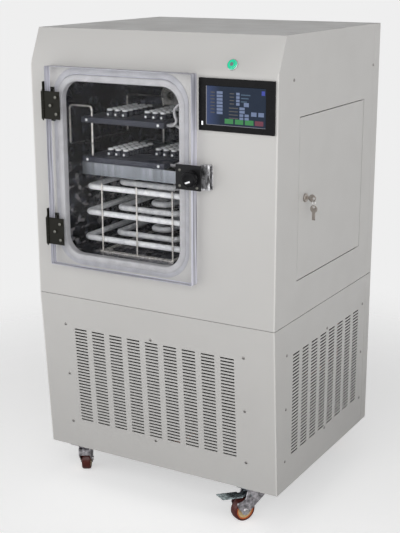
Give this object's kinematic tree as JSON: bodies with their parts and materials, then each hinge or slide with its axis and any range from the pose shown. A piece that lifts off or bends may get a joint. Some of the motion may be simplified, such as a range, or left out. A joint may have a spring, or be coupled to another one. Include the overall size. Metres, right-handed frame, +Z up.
{
  "type": "freeze dryer",
  "caption": "Floor-standing laboratory freeze dryer on casters with a clear hinged door, shelves over a coil cold trap, a touch panel, a side access door and vented lower panels.",
  "frame": {"origin": "middle of the footprint, on the floor", "axes": "+Z up, -Y out of the front with the clear door, +X towards the side with the small access door"},
  "size_m": [0.7552, 0.7172, 1.265],
  "materials": {
    "body_paint": "satin light warm grey enamel",
    "frame_paint": "dark grey enamel on square tube",
    "stainless": "bright rolled stainless steel",
    "foam": "rigid insulation foam, out of sight",
    "silicone": "white silicone",
    "dark_plate": "dark smooth shelf plate",
    "tray_metal": "plain sheet",
    "bright_steel": "polished",
    "frost": "tube with a pale, frosted skin",
    "black_paint": "black enamel",
    "fin_metal": "fins and sheet",
    "copper": "bare copper tube",
    "grey_plastic": "moulded",
    "black_plastic": "moulded, slightly glossy",
    "display_glass": "lit display behind a clear cover",
    "green_ring": "lit green ring in a metal rim",
    "grey_cap": "dished push cap",
    "acrylic": "thick clear acrylic with polished edges",
    "black_steel": "black oxide",
    "nickel": "nickel plate",
    "zinc": "bright zinc plate",
    "tread": "dark red-brown tread on an amber hub",
    "pedal_zinc": "blue passivated zinc"
  },
  "bodies": {
    "cabinet": {"frame": "frame_paint", "upper_housing": "body_paint", "lower_front_panel": "body_paint", "lower_right_panel": "body_paint", "lower_left_panel": "body_paint", "rear_upper_cover": "body_paint", "rear_lower_cover": "body_paint", "chamber_liner": "stainless", "chamber_insulation": "foam", "chamber_gasket": "silicone", "upper_shelf": "dark_plate", "lower_shelf": "dark_plate", "drip_tray": "tray_metal", "shelf_hanger_left": "bright_steel", "shelf_hanger_right": "bright_steel", "cold_trap_coil": "frost", "coil_stand": "bright_steel", "shelf_supply_hose": "silicone", "shelf_link_hose": "silicone", "vacuum_pipe": "bright_steel", "compressor": "black_paint", "condenser": "fin_metal", "fan_motor": "black_paint", "suction_line": "copper", "liquid_line": "copper", "control_box": "grey_plastic", "power_inlet": "black_plastic", "touch_panel_bezel": "black_plastic", "touch_panel_screen": "display_glass", "button_housing": "green_ring", "hinge_bracket_upper": "black_steel", "hinge_bracket_lower": "black_steel", "latch_strike": "bright_steel", "caster_front_right_plate": "zinc", "caster_front_left_plate": "zinc", "caster_rear_right_plate": "zinc", "caster_rear_left_plate": "zinc"},
    "condenser_fan": {"condenser_fan": "grey_plastic"},
    "button_cap": {"button_cap": "grey_cap"},
    "chamber_door": {"chamber_door": "acrylic", "hinge_leaf_upper": "black_steel", "hinge_leaf_lower": "black_steel", "latch_plate": "black_steel"},
    "latch_knob": {"latch_knob": "black_plastic"},
    "access_door": {"access_door": "body_paint", "lock_barrel": "nickel"},
    "lock_plug": {"lock_plug": "nickel", "door_key": "nickel"},
    "key_ring": {"key_ring": "bright_steel"},
    "spare_key": {"spare_key": "nickel"},
    "caster_front_right_fork": {"caster_front_right_fork": "zinc"},
    "caster_front_right_wheel": {"caster_front_right_wheel": "tread"},
    "caster_front_left_fork": {"caster_front_left_fork": "zinc"},
    "caster_front_left_wheel": {"caster_front_left_wheel": "tread"},
    "caster_rear_right_fork": {"caster_rear_right_fork": "zinc"},
    "caster_rear_right_wheel": {"caster_rear_right_wheel": "tread"},
    "caster_rear_left_fork": {"caster_rear_left_fork": "zinc"},
    "caster_rear_left_wheel": {"caster_rear_left_wheel": "tread"},
    "caster_front_right_pedal": {"caster_front_right_pedal": "pedal_zinc"},
    "caster_front_left_pedal": {"caster_front_left_pedal": "pedal_zinc"}
  },
  "joints": [
    {"name": "chamber_door_swing", "type": "hinge", "parent": "cabinet", "child": "chamber_door", "pos_m": [-0.3176, -0.33275, 0.903], "axis": [0, 0, -1], "range_deg": [0, 120]},
    {"name": "latch_turn", "type": "hinge", "parent": "chamber_door", "child": "latch_knob", "pos_m": [0.1314, -0.33, 0.923], "axis": [0, 1, 0], "range_deg": [0, 90]},
    {"name": "access_door_swing", "type": "hinge", "parent": "cabinet", "child": "access_door", "pos_m": [0.3378, 0.22855, 0.86], "axis": [0, 0, 1], "range_deg": [0, 100]},
    {"name": "lock_turn", "type": "hinge", "parent": "access_door", "child": "lock_plug", "pos_m": [0.34, -0.13945, 0.861], "axis": [-1, 0, 0], "range_deg": [0, 90]},
    {"name": "key_ring_swing", "type": "hinge", "parent": "lock_plug", "child": "key_ring", "pos_m": [0.3676, -0.13945, 0.8591], "axis": [0, -1, 0], "range_deg": [-15, 60]},
    {"name": "spare_key_swing", "type": "hinge", "parent": "key_ring", "child": "spare_key", "pos_m": [0.3676, -0.13945, 0.8411], "axis": [0, -1, 0], "range_deg": [-12, 60]},
    {"name": "power_button_press", "type": "slide", "parent": "cabinet", "child": "button_cap", "axis": [0, 0.9155, -0.4024], "range_m": [0, 0.003], "stiffness_N_per_m": 300, "springref_m": -0.002},
    {"name": "fan_spin", "type": "hinge", "parent": "cabinet", "child": "condenser_fan", "pos_m": [-0.1526, -0.18, 0.2703], "axis": [0, 1, 0], "continuous": true},
    {"name": "caster_front_right_swivel", "type": "hinge", "parent": "cabinet", "child": "caster_front_right_fork", "pos_m": [0.2524, -0.23545, 0.085], "axis": [0, 0, 1], "continuous": true},
    {"name": "caster_front_right_roll", "type": "hinge", "parent": "caster_front_right_fork", "child": "caster_front_right_wheel", "pos_m": [0.2384, -0.2597, 0.0315], "axis": [-0.866, 0.5, 0], "continuous": true},
    {"name": "caster_front_right_brake", "type": "hinge", "parent": "caster_front_right_fork", "child": "caster_front_right_pedal", "pos_m": [0.2464, -0.24584, 0.072], "axis": [0.866, -0.5, 0], "range_deg": [0, 15]},
    {"name": "caster_front_left_swivel", "type": "hinge", "parent": "cabinet", "child": "caster_front_left_fork", "pos_m": [-0.2876, -0.23545, 0.085], "axis": [0, 0, 1], "continuous": true},
    {"name": "caster_front_left_roll", "type": "hinge", "parent": "caster_front_left_fork", "child": "caster_front_left_wheel", "pos_m": [-0.3016, -0.2112, 0.0315], "axis": [0.866, 0.5, 0], "continuous": true},
    {"name": "caster_front_left_brake", "type": "hinge", "parent": "caster_front_left_fork", "child": "caster_front_left_pedal", "pos_m": [-0.2936, -0.22506, 0.072], "axis": [-0.866, -0.5, 0], "range_deg": [0, 15]},
    {"name": "caster_rear_right_swivel", "type": "hinge", "parent": "cabinet", "child": "caster_rear_right_fork", "pos_m": [0.2524, 0.27255, 0.085], "axis": [0, 0, 1], "continuous": true},
    {"name": "caster_rear_right_roll", "type": "hinge", "parent": "caster_rear_right_fork", "child": "caster_rear_right_wheel", "pos_m": [0.2524, 0.30055, 0.0315], "axis": [1, 0, 0], "continuous": true},
    {"name": "caster_rear_left_swivel", "type": "hinge", "parent": "cabinet", "child": "caster_rear_left_fork", "pos_m": [-0.2876, 0.27255, 0.085], "axis": [0, 0, 1], "continuous": true},
    {"name": "caster_rear_left_roll", "type": "hinge", "parent": "caster_rear_left_fork", "child": "caster_rear_left_wheel", "pos_m": [-0.2876, 0.30055, 0.0315], "axis": [1, 0, 0], "continuous": true}
  ]
}
